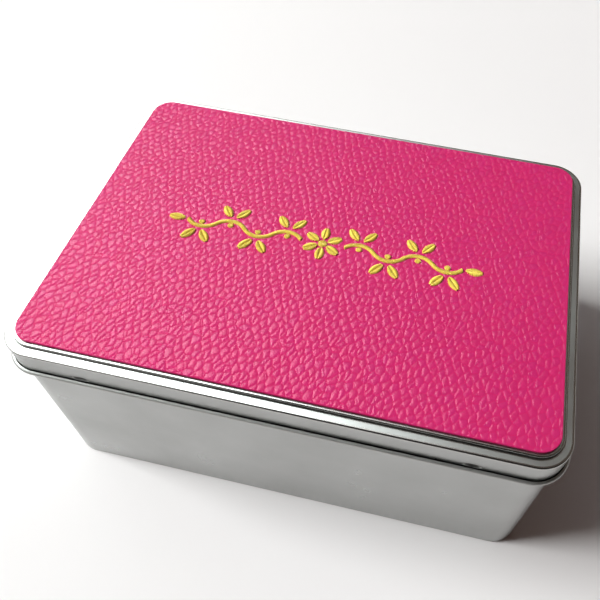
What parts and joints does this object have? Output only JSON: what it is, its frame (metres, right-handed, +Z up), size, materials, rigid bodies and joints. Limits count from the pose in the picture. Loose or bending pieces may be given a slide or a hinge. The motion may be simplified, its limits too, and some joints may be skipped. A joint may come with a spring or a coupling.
{
  "type": "storage tin",
  "caption": "Rectangular tinplate storage tin with rounded corners and a lift-off slip lid faced with an embroidered leather panel.",
  "frame": {"origin": "centre of the tin's outline, on the lowest face of the foot", "axes": "+X along the length, -Y towards the front, +Z up along the way the lid lifts"},
  "size_m": [0.2022, 0.1452, 0.0882],
  "materials": {
    "tinplate": "satin bright tinplate",
    "adhesive": "clear acrylic film",
    "leather": "pebble grain, semi-matt",
    "thread": "silky rayon thread"
  },
  "bodies": {
    "tin": {"body_wall": "tinplate", "base_panel": "tinplate"},
    "lid": {"lid_shell": "tinplate", "lid_adhesive": "adhesive", "leather_panel": "leather", "embroidery_thread": "thread"}
  },
  "joints": [
    {"name": "lid_lift", "type": "slide", "parent": "tin", "child": "lid", "axis": [0, 0, 1], "range_m": [0, 0.08]}
  ]
}
